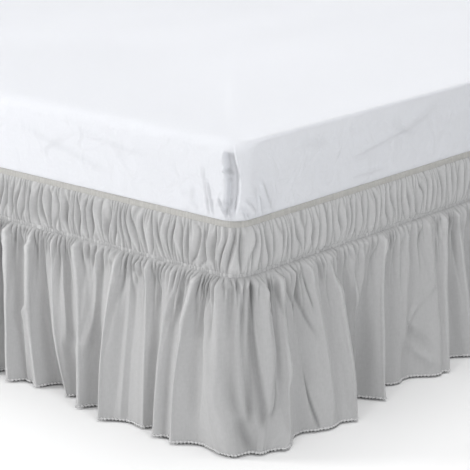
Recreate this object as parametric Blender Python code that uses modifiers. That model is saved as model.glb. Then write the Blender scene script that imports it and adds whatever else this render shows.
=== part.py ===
"""Elasticated ruffle bed skirt, worn by a plain made-up bed.

The skirt is one loop that is pulled over the mattress and hides the bed's
base and legs. From the top it is a narrow elastic binding, a gathered
heading, a seam with elastic in it, and a ruffle that hangs to the floor and
flares as it falls. The bed under it is plain: mattress in a fitted sheet,
base slab and four legs.

Metres, +Z up. The origin is on the floor under the middle of the bed.
X runs across the bed and Y along it, with the foot end at -Y.
"""
import math

import bpy
import numpy as np

# Bed, a queen size.
BED_WIDTH = 1.52
BED_LENGTH = 2.03
CORNER_RADIUS = 0.035
CORNER_STEPS = 6
MATTRESS_BOTTOM = 0.296
MATTRESS_TOP = 0.546
MATTRESS_EDGE = 0.012
BLOCK_INSET_LIMIT = 0.02
FLAT_TOP_INSET = 0.100
MATTRESS_CROWN = ((0.000, 0.510), (0.004, 0.529), (0.014, 0.5405), (0.035, 0.5453))
BASE_THICKNESS = 0.0797
BASE_BOTTOM = 0.216
BASE_INSET = 0.012
BASE_EDGE = 0.006
LEG_SIZE = 0.06
LEG_INSET = 0.12
GAP = 0.0003

# Fitted sheet.
SHEET_THICKNESS = 0.0015
SHEET_HEM = 0.300
PLEAT_RIDGE = 0.007
PLEAT_LOW = 0.413
PLEAT_HIGH = 0.542
PLEAT_FADE = 0.03

# Skirt, from the top down. Heights are above the floor.
SKIRT_TOP = 0.406
BINDING_HEIGHT = 0.012
BINDING_THICKNESS = 0.0024
SEAM_TOP = 0.3100
SEAM_HEIGHT = 0.0078
SEAM_THICKNESS = 0.0026
CLOTH = 0.002
HEADING_SIDE_STEPS = 40
HEADING_END_STEPS = 30
HEADING_ROWS = (0.0, 0.3, 0.7, 1.0)
HEADING_PUFF = 0.0055
HEADING_UNEVEN = 0.0022
HEADING_CHANCE = 0.4
RUFFLE_TOP = 0.3010
RUFFLE_HEM = 0.0060
RUFFLE_ROWS = (0.0, 0.10, 0.34, 0.66, 1.0)
RUFFLE_AT_SEAM = 0.0040
HEM_LIFT = 0.0010
PUFF_SHARE = 0.10
PUFF_DEPTH = 0.08
FLARE_POWER = 1.06
FOLD_COLUMNS = 6
FOLD_SQUARENESS = 0.55
PANEL_GAP = 0.0003
JOIN_FLAT = 0.005

# Folds of the ruffle round the near corner, foot side first. Columns:
# top, middle, hem - where the ridge runs, measured round the bed from the corner
# reach           - how far the ridge stands out at the hem
# valley_at       - where the valley after it lies at the hem
# valley          - how far out that valley lies at the hem
CORNER_FOLDS = (
    (-0.568, -0.555, -0.524, 0.072, -0.492, 0.040),
    (-0.503, -0.498, -0.457, 0.058, -0.430, 0.014),
    (-0.442, -0.434, -0.377, 0.053, -0.349, 0.030),
    (-0.385, -0.350, -0.318, 0.082, -0.283, 0.045),
    (-0.268, -0.273, -0.245, 0.100, -0.196, 0.070),
    (-0.196, -0.179, -0.155, 0.076, -0.136, 0.035),
    (-0.133, -0.134, -0.113, 0.092, -0.091, 0.080),
    (-0.070, -0.089, -0.066, 0.096, -0.023, 0.067),
    (-0.024, -0.014, -0.003, 0.098, 0.004, 0.091),
    (0.036, 0.021, 0.010, 0.098, 0.016, 0.093),
    (0.080, 0.060, 0.022, 0.100, 0.084, 0.069),
    (0.163, 0.169, 0.144, 0.099, 0.171, 0.094),
    (0.229, 0.228, 0.204, 0.107, 0.228, 0.030),
    (0.303, 0.295, 0.256, 0.055, 0.281, 0.020),
    (0.400, 0.362, 0.325, 0.083, 0.368, 0.028),
    (0.446, 0.442, 0.418, 0.047, 0.439, 0.043),
    (0.540, 0.539, 0.506, 0.081, 0.517, 0.078),
    (0.593, 0.565, 0.530, 0.085, 0.581, 0.032),
    (0.637, 0.645, 0.640, 0.064, 0.674, 0.030),
)
CORNER_ROWS = CORNER_FOLDS[7:11]
CORNER_SPLIT_ROW = 1

# Folds of the rest of the loop are drawn from these ranges.
FOLD_SEED = 11
FOLD_PITCH = 0.088
PITCH_SPREAD = 0.38
TOP_SHIFT = 0.020
BOW = 0.008
REACH_RANGE = (0.056, 0.098)
VALLEY_RANGE = (0.016, 0.048)

HALF_WIDTH = BED_WIDTH / 2
HALF_LENGTH = BED_LENGTH / 2
SIDE_RUN = BED_LENGTH - 2 * CORNER_RADIUS
END_RUN = BED_WIDTH - 2 * CORNER_RADIUS
QUARTER = CORNER_RADIUS * math.pi / 2
LOOP = 2 * (SIDE_RUN + END_RUN) + 4 * QUARTER
CORNER_MIDDLES = (
    0.0,
    SIDE_RUN + QUARTER,
    SIDE_RUN + END_RUN + 2 * QUARTER,
    2 * SIDE_RUN + END_RUN + 3 * QUARTER,
)
SHEET_OUT = GAP + SHEET_THICKNESS
SKIRT_IN = SHEET_OUT + GAP


def clear_scene():
    """Remove whatever objects the scene starts with."""
    for thing in list(bpy.data.objects):
        bpy.data.objects.remove(thing, do_unlink=True)


def smooth(x):
    """Ease from 0 to 1 as x goes from 0 to 1, flat at both ends."""
    x = np.clip(x, 0.0, 1.0)
    return x * x * (3.0 - 2.0 * x)


def material(name, colour, roughness, metallic=0.0):
    """Plain Principled material."""
    mat = bpy.data.materials.new(name)
    mat.use_nodes = True
    shader = mat.node_tree.nodes["Principled BSDF"]
    shader.inputs["Base Color"].default_value = (*colour, 1.0)
    shader.inputs["Roughness"].default_value = roughness
    shader.inputs["Metallic"].default_value = metallic
    return mat


def add_object(name, verts, faces, mat, collection):
    """Mesh object from points and faces, linked to the bed's collection."""
    mesh = bpy.data.meshes.new(name)
    mesh.from_pydata([tuple(map(float, v)) for v in verts], [], faces)
    mesh.update()
    obj = bpy.data.objects.new(name, mesh)
    obj.data.materials.append(mat)
    collection.objects.link(obj)
    return obj


def place(around, out, corner_radius=CORNER_RADIUS):
    """Plan position of points round the bed.

    around is measured along the mattress's edge from the middle of the near
    corner, growing along the side; out is the distance outwards from it.
    """
    a = np.mod(np.asarray(around, dtype=float), LOOP)
    out = np.asarray(out, dtype=float)
    x = np.zeros(a.shape)
    y = np.zeros(a.shape)
    nx = np.zeros(a.shape)
    ny = np.zeros(a.shape)
    cx = HALF_WIDTH - CORNER_RADIUS
    cy = HALF_LENGTH - CORNER_RADIUS
    corners = ((cx, -cy, -45.0), (cx, cy, 45.0), (-cx, cy, 135.0), (-cx, -cy, 225.0))
    runs = (SIDE_RUN, END_RUN, SIDE_RUN, END_RUN)
    middle = 0.0
    for (kx, ky, heading), run in zip(corners, runs):
        away = np.mod(a - middle + LOOP / 2, LOOP) - LOOP / 2
        on_arc = np.abs(away) <= QUARTER / 2 + 1e-12
        angle = np.radians(heading) + away / CORNER_RADIUS
        x = np.where(on_arc, kx + CORNER_RADIUS * np.cos(angle), x)
        y = np.where(on_arc, ky + CORNER_RADIUS * np.sin(angle), y)
        nx = np.where(on_arc, np.cos(angle), nx)
        ny = np.where(on_arc, np.sin(angle), ny)
        along = away - QUARTER / 2
        on_run = (along > 0) & (along < run)
        facing = np.radians(heading + 45.0)
        fx, fy = np.cos(facing), np.sin(facing)
        x = np.where(on_run, kx + CORNER_RADIUS * fx - along * fy, x)
        y = np.where(on_run, ky + CORNER_RADIUS * fy + along * fx, y)
        nx = np.where(on_run, fx, nx)
        ny = np.where(on_run, fy, ny)
        middle += run + QUARTER
    return x + out * nx, y + out * ny


def loop_stations(side_steps, end_steps):
    """Positions round the loop: even steps on the runs, fixed steps at corners."""
    stations = []
    middle = 0.0
    for run, steps in ((SIDE_RUN, side_steps), (END_RUN, end_steps)) * 2:
        for k in range(CORNER_STEPS):
            stations.append(middle - QUARTER / 2 + QUARTER * k / CORNER_STEPS)
        start = middle + QUARTER / 2
        for k in range(steps):
            stations.append(start + run * k / steps)
        middle += run + QUARTER
    return np.array(stations)


def ring_faces(columns, rows, first=0):
    """Quads of a grid that closes on itself, rows stacked upwards."""
    faces = []
    for r in range(rows - 1):
        for c in range(columns):
            d = (c + 1) % columns
            low = first + r * columns
            high = low + columns
            faces.append((low + c, low + d, high + d, high + c))
    return faces


def grid_faces(columns, rows):
    """Quads of an open grid, rows stacked downwards, facing out."""
    faces = []
    for r in range(rows - 1):
        for c in range(columns - 1):
            top = r * columns + c
            low = top + columns
            faces.append((low, low + 1, top + 1, top))
    return faces


def rounded_box(name, half_x, half_y, low, high, edge, mat, collection):
    """Block centred on the bed with softly bevelled edges."""
    corners = ((-1, -1), (1, -1), (1, 1), (-1, 1))
    verts = [(half_x * i, half_y * j, z) for z in (low, high) for i, j in corners]
    faces = [(3, 2, 1, 0), (4, 5, 6, 7)]
    faces += [(k, (k + 1) % 4, 4 + (k + 1) % 4, 4 + k) for k in range(4)]
    obj = add_object(name, verts, faces, mat, collection)
    bevel = obj.modifiers.new("soft edge", "BEVEL")
    bevel.width = edge
    bevel.segments = 2
    return obj


def ring_block(name, profile, mat, collection):
    """Solid block with the bed's rounded plan, from a profile of (inset, z)."""
    around = loop_stations(3, 2)
    count = len(around)
    verts = []
    for inset, z in profile:
        x, y = place(around, -min(inset, BLOCK_INSET_LIMIT))
        shrink = max(inset - BLOCK_INSET_LIMIT, 0.0)
        sx = (HALF_WIDTH - shrink) / HALF_WIDTH
        sy = (HALF_LENGTH - shrink) / HALF_LENGTH
        verts += list(zip(x * sx, y * sy, np.full(count, z)))
    faces = ring_faces(count, len(profile))
    faces.append(tuple(reversed(range(count))))
    top = (len(profile) - 1) * count
    faces.append(tuple(range(top, top + count)))
    return add_object(name, verts, faces, mat, collection)


def make_mattress(mat, collection):
    """Mattress: straight sides, a rounded crown and a flat middle."""
    profile = [(MATTRESS_EDGE, MATTRESS_BOTTOM), (0.0, MATTRESS_BOTTOM + MATTRESS_EDGE)]
    profile += list(MATTRESS_CROWN) + [(FLAT_TOP_INSET, MATTRESS_TOP)]
    return ring_block("mattress", profile, mat, collection)


def pleat_height(around, z):
    """How far the sheet's upright corner pleat stands out."""
    ridge = np.zeros(around.shape)
    for middle in CORNER_MIDDLES:
        at = middle + QUARTER / CORNER_STEPS
        away = np.abs(np.mod(around - at + LOOP / 2, LOOP) - LOOP / 2)
        ridge = np.maximum(ridge, 1.0 - away / (QUARTER / CORNER_STEPS))
    rise = smooth((z - PLEAT_LOW) / PLEAT_FADE) * smooth((PLEAT_HIGH - z) / PLEAT_FADE)
    return PLEAT_RIDGE * ridge * rise


def make_sheet(mat, collection):
    """Fitted sheet: a skin over the mattress with a pleat at each corner."""
    around = loop_stations(4, 3)
    count = len(around)
    out = GAP
    profile = [(0.0, SHEET_HEM), (0.0, PLEAT_LOW), (0.0, PLEAT_LOW + PLEAT_FADE)]
    profile += list(MATTRESS_CROWN) + [(FLAT_TOP_INSET, MATTRESS_TOP)]
    verts = []
    for inset, z in profile:
        x, y = place(around, out - min(inset, BLOCK_INSET_LIMIT) + pleat_height(around, z))
        shrink = max(inset - BLOCK_INSET_LIMIT, 0.0)
        sx = (HALF_WIDTH - shrink) / HALF_WIDTH
        sy = (HALF_LENGTH - shrink) / HALF_LENGTH
        lift = out if inset > 0 else 0.0
        verts += list(zip(x * sx, y * sy, np.full(count, z + lift)))
    faces = ring_faces(count, len(profile))
    top = (len(profile) - 1) * count
    faces.append(tuple(range(top, top + count)))
    obj = add_object("fitted_sheet", verts, faces, mat, collection)
    solid = obj.modifiers.new("cloth", "SOLIDIFY")
    solid.thickness = SHEET_THICKNESS
    solid.offset = 1.0
    solid.use_even_offset = True
    return obj


def make_base(mat, collection):
    """Bed base: one plain padded slab under the mattress."""
    top = BASE_BOTTOM + BASE_THICKNESS
    inset = BASE_INSET
    soft = BASE_INSET + BASE_EDGE
    profile = [(soft, BASE_BOTTOM), (inset, BASE_BOTTOM + BASE_EDGE), (inset, top - BASE_EDGE), (soft, top)]
    return ring_block("bed_base", profile, mat, collection)


def make_legs(mat, collection):
    """Four square legs under the base."""
    legs = []
    for number, (i, j) in enumerate(((-1, -1), (1, -1), (1, 1), (-1, 1)), start=1):
        high = BASE_BOTTOM - GAP
        leg = rounded_box(f"leg_{number}", LEG_SIZE / 2, LEG_SIZE / 2, 0.0, high, 0.003, mat, collection)
        shift_x = i * (HALF_WIDTH - LEG_INSET)
        shift_y = j * (HALF_LENGTH - LEG_INSET)
        for vertex in leg.data.vertices:
            vertex.co.x += shift_x
            vertex.co.y += shift_y
        legs.append(leg)
    return legs


def make_band(name, low, high, thickness, mat, collection):
    """Narrow stretched band lying flat against the sheet."""
    around = loop_stations(4, 3)
    count = len(around)
    middle = SKIRT_IN + thickness / 2
    verts = []
    for z in (low, high):
        x, y = place(around, middle)
        verts += list(zip(x, y, np.full(count, z)))
    obj = add_object(name, verts, ring_faces(count, 2), mat, collection)
    solid = obj.modifiers.new("cloth", "SOLIDIFY")
    solid.thickness = thickness
    solid.offset = 0.0
    solid.use_even_offset = True
    return obj


def make_heading(mat, collection):
    """Gathered band between the two elastics, puffed out unevenly."""
    rng = np.random.default_rng(FOLD_SEED + 1)
    around = loop_stations(HEADING_SIDE_STEPS, HEADING_END_STEPS)
    count = len(around)
    high = SKIRT_TOP - BINDING_HEIGHT - GAP
    low = SEAM_TOP + GAP
    centre = SKIRT_IN + CLOTH / 2
    in_and_out = 1.0 - 2.0 * (np.arange(count) % 2)
    puckers = (1.0 - HEADING_CHANCE) * in_and_out + HEADING_CHANCE * rng.uniform(-1.0, 1.0, count)
    verts = []
    for v in reversed(HEADING_ROWS):
        bulge = math.sin(math.pi * v)
        out = centre + bulge * (HEADING_PUFF + HEADING_UNEVEN * puckers)
        x, y = place(around, out)
        verts += list(zip(x, y, np.full(count, high + (low - high) * v)))
    obj = add_object("heading", verts, ring_faces(count, len(HEADING_ROWS)), mat, collection)
    solid = obj.modifiers.new("cloth", "SOLIDIFY")
    solid.thickness = CLOTH
    solid.offset = 0.0
    return obj


def drawn_folds(rng, start, end):
    """Rows for the folds of one unseen run, spread unevenly between two ridges."""
    count = max(2, round((end - start) / FOLD_PITCH))
    steps = 1.0 + PITCH_SPREAD * rng.uniform(-1.0, 1.0, count)
    places = start + np.cumsum(steps / steps.sum())[:-1] * (end - start)
    rows = []
    for at in places:
        top = at + TOP_SHIFT * rng.uniform(-1.0, 1.0)
        middle = (at + top) / 2 + BOW * rng.uniform(-1.0, 1.0)
        reach = rng.uniform(*REACH_RANGE)
        valley = rng.uniform(*VALLEY_RANGE)
        rows.append((top, middle, at, reach, None, valley))
    return rows


def all_folds():
    """Every fold of the loop in order, and the rows where the panels join."""
    rng = np.random.default_rng(FOLD_SEED)
    rows = list(CORNER_FOLDS)
    joins = [CORNER_FOLDS.index(CORNER_ROWS[CORNER_SPLIT_ROW])]
    last = rows[-1][2]
    for middle in CORNER_MIDDLES[1:]:
        rows += drawn_folds(rng, last, middle + CORNER_ROWS[0][2])
        joins.append(len(rows) + CORNER_SPLIT_ROW)
        for top, mid, hem, reach, valley_at, valley in CORNER_ROWS:
            rows.append((top + middle, mid + middle, hem + middle, reach, valley_at + middle, valley))
        last = rows[-1][2]
    rows += drawn_folds(rng, last, LOOP + CORNER_FOLDS[0][2])
    filled = []
    for k, row in enumerate(rows):
        after = rows[k + 1][2] if k + 1 < len(rows) else rows[0][2] + LOOP
        valley_at = row[4] if row[4] is not None else (row[2] + after) / 2
        filled.append((*row[:4], (valley_at - row[2]) / (after - row[2]), row[5]))
    return np.array(filled), joins


def fold_curve(folds, t):
    """Plan curve of the ruffle at depth t, 0 at the seam and 1 at the hem.

    Each ridge runs through its three table positions on a parabola. Between a
    ridge and its valley the distance out falls as a cosine while the position
    runs on evenly, with a double-frequency term that steepens the flank.
    Returns one row of (around, out) per column, FOLD_COLUMNS to a fold.
    """
    top, middle, hem, reach, share, valley = folds.T
    ridge_at = top * (1 - t) * (1 - 2 * t) + middle * 4 * t * (1 - t) + hem * t * (2 * t - 1)
    puff = PUFF_SHARE * smooth(t / PUFF_DEPTH)
    flare = puff + (1.0 - PUFF_SHARE) * t ** FLARE_POWER
    ridge_out = RUFFLE_AT_SEAM + (reach - RUFFLE_AT_SEAM) * flare
    valley_out = RUFFLE_AT_SEAM + (valley - RUFFLE_AT_SEAM) * t ** FLARE_POWER
    next_at = np.append(ridge_at[1:], ridge_at[0] + LOOP)
    next_out = np.append(ridge_out[1:], ridge_out[0])
    valley_at = ridge_at + (next_at - ridge_at) * (0.5 + (share - 0.5) * t)
    half = FOLD_COLUMNS // 2
    phase = np.arange(half) * math.pi / half
    run = phase / math.pi + FOLD_SQUARENESS * np.sin(2 * phase) / (2 * math.pi)
    drop = (1 - np.cos(phase)) / 2
    down_at = ridge_at[:, None] + (valley_at - ridge_at)[:, None] * run
    down_out = ridge_out[:, None] + (valley_out - ridge_out)[:, None] * drop
    up_at = valley_at[:, None] + (next_at - valley_at)[:, None] * run
    up_out = valley_out[:, None] + (next_out - valley_out)[:, None] * drop
    at = np.concatenate([down_at, up_at], axis=1).ravel()
    out = np.concatenate([down_out, up_out], axis=1).ravel()
    return at, out


def make_panel(name, folds, first, last, mat, collection):
    """One length of the ruffle, from one corner join to the next."""
    begin = first * FOLD_COLUMNS
    finish = last * FOLD_COLUMNS
    total = len(folds) * FOLD_COLUMNS
    verts = []
    for t in RUFFLE_ROWS:
        at, out = fold_curve(folds, t)
        index = np.arange(begin, finish + 1)
        turns = index // total
        a = at[index % total] + turns * LOOP
        o = out[index % total]
        stretch = 1.0 + o[[0, -1]] / CORNER_RADIUS
        gap = PANEL_GAP / 2 / stretch
        flat = JOIN_FLAT / stretch
        a = np.concatenate([[a[0] + gap[0], a[0] + flat[0]], a[1:-1], [a[-1] - flat[1], a[-1] - gap[1]]])
        o = np.concatenate([[o[0], o[0]], o[1:-1], [o[-1], o[-1]]])
        x, y = place(a, o)
        lift = HEM_LIFT * t ** 4 * smooth(o / REACH_RANGE[1])
        z = RUFFLE_TOP + (RUFFLE_HEM - RUFFLE_TOP) * t + lift
        verts += list(zip(x, y, z))
    columns = finish - begin + 3
    obj = add_object(name, verts, grid_faces(columns, len(RUFFLE_ROWS)), mat, collection)
    solid = obj.modifiers.new("cloth", "SOLIDIFY")
    solid.thickness = CLOTH
    solid.offset = 0.0
    return obj


def make_ruffle(mat, collection):
    """The four lengths of the ruffle: right side, head, left side, foot."""
    folds, joins = all_folds()
    names = ("ruffle_right", "ruffle_head", "ruffle_left", "ruffle_foot")
    ends = joins[1:] + [joins[0] + len(folds)]
    return [
        make_panel(name, folds, first, last, mat, collection)
        for name, first, last in zip(names, joins, ends)
    ]


def main():
    """Build the bed and its skirt."""
    clear_scene()
    bed = bpy.data.collections.new("bed_skirt_on_bed")
    bpy.context.scene.collection.children.link(bed)
    skirt_cloth = material("skirt_cloth", (0.43, 0.43, 0.435), 0.85)
    elastic = material("elastic_tape", (0.47, 0.465, 0.455), 0.8)
    sheet_cloth = material("sheet_cloth", (0.86, 0.87, 0.90), 0.8)
    ticking = material("mattress_ticking", (0.80, 0.80, 0.79), 0.85)
    base_cover = material("base_cover", (0.62, 0.60, 0.57), 0.85)
    wood = material("leg_wood", (0.36, 0.25, 0.16), 0.6)
    make_mattress(ticking, bed)
    make_sheet(sheet_cloth, bed)
    make_base(base_cover, bed)
    make_legs(wood, bed)
    binding_low = SKIRT_TOP - BINDING_HEIGHT
    make_band("top_elastic", binding_low, SKIRT_TOP, BINDING_THICKNESS, elastic, bed)
    make_heading(skirt_cloth, bed)
    seam_low = SEAM_TOP - SEAM_HEIGHT
    make_band("seam_elastic", seam_low, SEAM_TOP, SEAM_THICKNESS, elastic, bed)
    make_ruffle(skirt_cloth, bed)


main()
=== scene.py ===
import math

import bpy
import numpy as np
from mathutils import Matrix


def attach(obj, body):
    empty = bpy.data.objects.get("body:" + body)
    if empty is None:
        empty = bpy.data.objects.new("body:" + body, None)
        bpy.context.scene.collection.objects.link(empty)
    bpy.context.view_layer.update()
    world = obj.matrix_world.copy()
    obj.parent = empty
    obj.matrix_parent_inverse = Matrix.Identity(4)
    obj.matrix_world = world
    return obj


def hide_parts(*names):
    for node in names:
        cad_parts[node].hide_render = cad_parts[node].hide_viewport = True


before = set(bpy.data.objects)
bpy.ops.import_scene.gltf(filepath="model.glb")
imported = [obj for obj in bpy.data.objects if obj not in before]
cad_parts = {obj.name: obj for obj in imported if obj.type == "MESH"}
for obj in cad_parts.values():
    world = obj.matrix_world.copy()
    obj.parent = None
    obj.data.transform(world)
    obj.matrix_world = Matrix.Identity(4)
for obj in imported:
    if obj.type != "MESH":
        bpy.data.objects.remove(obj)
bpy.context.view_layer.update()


# Camera: a long lens from the foot end's right, a little above the mattress,
# looking at the near corner. Fitted to the straight edges of the skirt.

camera_data = bpy.data.cameras.new("camera")
camera_data.lens = 152.4
camera_data.sensor_width = 36.0
camera_data.clip_end = 60.0
camera = bpy.data.objects.new("camera", camera_data)
camera.location = (2.959, -3.538, 1.356)
camera.rotation_euler = (math.radians(90.0 - 16.18), 0.0, math.radians(41.14))
bpy.context.scene.collection.objects.link(camera)
bpy.context.scene.camera = camera


# Studio: a pale flat floor, three soft square lights round the near corner, the
# strongest on the left of the picture, a wide one over the bed, and a pale
# surround that fills the shadows.

def area_light(name, place, aim, size, power, colour):
    """Add a square soft light at place, turned so that its face looks at aim."""
    data = bpy.data.lights.new(name, "AREA")
    data.shape = "SQUARE"
    data.size = size
    data.energy = power
    data.color = colour
    light = bpy.data.objects.new(name, data)
    light.location = place
    way = np.subtract(aim, place)
    flat = math.hypot(way[0], way[1])
    light.rotation_euler = (math.atan2(flat, -way[2]), 0.0, math.atan2(-way[0], way[1]))
    bpy.context.scene.collection.objects.link(light)


near_corner = (0.76, -1.015, 0.3)
area_light("left_light", (-2.9, -3.3, 1.55), near_corner, 1.1, 118.0, (1.0, 1.0, 1.0))
area_light("front_light", (1.8, -4.9, 1.9), near_corner, 0.9, 34.0, (1.0, 1.0, 1.0))
area_light("right_light", (4.6, -2.2, 1.9), near_corner, 1.0, 49.0, (0.97, 0.985, 1.0))
area_light("top_light", (0.3, 0.3, 4.1), (0.3, 0.1, 0.5), 3.0, 106.0, (1.0, 1.0, 1.0))

world = bpy.data.worlds.new("surround")
world.use_nodes = True
world.node_tree.nodes["Background"].inputs["Color"].default_value = (1.0, 1.0, 1.0, 1.0)
world.node_tree.nodes["Background"].inputs["Strength"].default_value = 0.42
bpy.context.scene.world = world
bpy.context.scene.view_settings.view_transform = "Standard"

FLOOR_REACH = 30.0
floor_mesh = bpy.data.meshes.new("floor")
floor_corners = [(x * FLOOR_REACH, y * FLOOR_REACH, 0.0) for x, y in ((-1, -1), (1, -1), (1, 1), (-1, 1))]
floor_mesh.from_pydata(floor_corners, [], [(0, 1, 2, 3)])
floor = bpy.data.objects.new("floor", floor_mesh)
bpy.context.scene.collection.objects.link(floor)
floor_paint = bpy.data.materials.new("floor_paint")
floor_paint.use_nodes = True
floor_shader = floor_paint.node_tree.nodes["Principled BSDF"]
floor_shader.inputs["Base Color"].default_value = (0.87, 0.87, 0.87, 1.0)
floor_shader.inputs["Roughness"].default_value = 0.9
floor_mesh.materials.append(floor_paint)


# Legs and base slab: hidden under the skirt. Plain stained wood legs, and a
# slab covered in coarse upholstery cloth. Their solids are used as they are.

def fresh_material(name):
    """New node material; returns it with its node tree and its shader."""
    mat = bpy.data.materials.new(name)
    mat.use_nodes = True
    tree = mat.node_tree
    return mat, tree, tree.nodes["Principled BSDF"]


def add_node(tree, kind, inputs=(), **settings):
    """Node of a kind with its settings, its inputs being values or sockets."""
    node = tree.nodes.new(kind)
    for key, value in settings.items():
        setattr(node, key, value)
    for key, value in dict(inputs).items():
        if isinstance(value, bpy.types.NodeSocket):
            tree.links.new(value, node.inputs[key])
        else:
            node.inputs[key].default_value = value
    return node


def object_point(tree):
    """Socket with the point on the piece in metres."""
    return add_node(tree, "ShaderNodeTexCoord").outputs["Object"]


def two_tone(tree, shader, amount, dark, light):
    """Colour the shader from dark to light as the amount socket goes from 0 to 1."""
    tint = add_node(tree, "ShaderNodeValToRGB", {"Fac": amount})
    tint.color_ramp.elements[0].color = (*dark, 1.0)
    tint.color_ramp.elements[1].color = (*light, 1.0)
    tree.links.new(tint.outputs["Color"], shader.inputs["Base Color"])


def dress(node, mat):
    """Show a node's own solid in the material."""
    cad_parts[node].data.materials.clear()
    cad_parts[node].data.materials.append(mat)


wood, tree, shader = fresh_material("stained_wood")
stretch = add_node(tree, "ShaderNodeMapping", {"Vector": object_point(tree), "Scale": (60.0, 60.0, 5.0)})
figure = {"Vector": stretch.outputs[0], "Scale": 1.0, "Detail": 6.0, "Distortion": 0.6}
grain = add_node(tree, "ShaderNodeTexNoise", figure).outputs["Fac"]
two_tone(tree, shader, grain, (0.20, 0.12, 0.07), (0.42, 0.29, 0.18))
shader.inputs["Roughness"].default_value = 0.5
for name in ("leg_1", "leg_2", "leg_3", "leg_4"):
    dress(name, wood)

cover, tree, shader = fresh_material("base_cloth")
speckle = {"Vector": object_point(tree), "Scale": 700.0, "Detail": 2.0}
threads = add_node(tree, "ShaderNodeTexNoise", speckle).outputs["Fac"]
two_tone(tree, shader, threads, (0.50, 0.48, 0.45), (0.70, 0.68, 0.64))
bump = add_node(tree, "ShaderNodeBump", {"Height": threads, "Strength": 0.3, "Distance": 0.0006})
tree.links.new(bump.outputs["Normal"], shader.inputs["Normal"])
shader.inputs["Roughness"].default_value = 0.9
dress("bed_base", cover)


# Mattress: a plain foam block in white ticking, rounded at its corners and
# crown. The sheet covers its top and sides, so only its underside can be seen.

BED_WIDTH = 1.52
BED_LENGTH = 2.03
CORNER_RADIUS = 0.035
HALF_WIDTH = BED_WIDTH / 2
HALF_LENGTH = BED_LENGTH / 2
SIDE_RUN = BED_LENGTH - 2 * CORNER_RADIUS
END_RUN = BED_WIDTH - 2 * CORNER_RADIUS
QUARTER = CORNER_RADIUS * math.pi / 2
LOOP = 2 * (SIDE_RUN + END_RUN) + 4 * QUARTER
CORNER_MIDDLES = (
    0.0,
    SIDE_RUN + QUARTER,
    SIDE_RUN + END_RUN + 2 * QUARTER,
    2 * SIDE_RUN + END_RUN + 3 * QUARTER,
)
MATTRESS_BOTTOM = 0.296
MATTRESS_TOP = 0.546
CROWN = ((0.000, 0.510), (0.004, 0.529), (0.014, 0.5405), (0.035, 0.5453))
NORMAL_INSET = 0.02
MIDDLE_INSET = HALF_LENGTH + NORMAL_INSET
POCKET_DENT = 0.0150
POCKET_DENT_REACH = 0.045
POCKET_DENT_MIDDLE = 0.465
POCKET_DENT_HEIGHT = 0.085


def round_bed(around, out):
    """Plan position round the bed, a rectangle with quarter-circle corners.

    around is the distance along that outline from the middle of the near
    corner, growing up the right side; out is how far outside it, along the
    outline's normal. Returns x, y and the normal's x, y.
    """
    a = np.mod(around, LOOP)
    out = np.broadcast_to(out, np.broadcast(a, out).shape)
    a = np.broadcast_to(a, out.shape)
    x, y = np.zeros(a.shape), np.zeros(a.shape)
    nx, ny = np.zeros(a.shape), np.zeros(a.shape)
    cx, cy = HALF_WIDTH - CORNER_RADIUS, HALF_LENGTH - CORNER_RADIUS
    corners = ((cx, -cy, -45.0), (cx, cy, 45.0), (-cx, cy, 135.0), (-cx, -cy, 225.0))
    for (kx, ky, facing), middle, run in zip(corners, CORNER_MIDDLES, (SIDE_RUN, END_RUN) * 2):
        away = np.mod(a - middle + LOOP / 2, LOOP) - LOOP / 2
        arc = np.abs(away) <= QUARTER / 2 + 1e-9
        angle = math.radians(facing) + away / CORNER_RADIUS
        x = np.where(arc, kx + CORNER_RADIUS * np.cos(angle), x)
        y = np.where(arc, ky + CORNER_RADIUS * np.sin(angle), y)
        nx, ny = np.where(arc, np.cos(angle), nx), np.where(arc, np.sin(angle), ny)
        along = away - QUARTER / 2
        straight = (along > 1e-9) & (along < run)
        fx, fy = math.cos(math.radians(facing + 45.0)), math.sin(math.radians(facing + 45.0))
        x = np.where(straight, kx + CORNER_RADIUS * fx - along * fy, x)
        y = np.where(straight, ky + CORNER_RADIUS * fy + along * fx, y)
        nx, ny = np.where(straight, fx, nx), np.where(straight, fy, ny)
    return x + out * nx, y + out * ny, nx, ny


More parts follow.
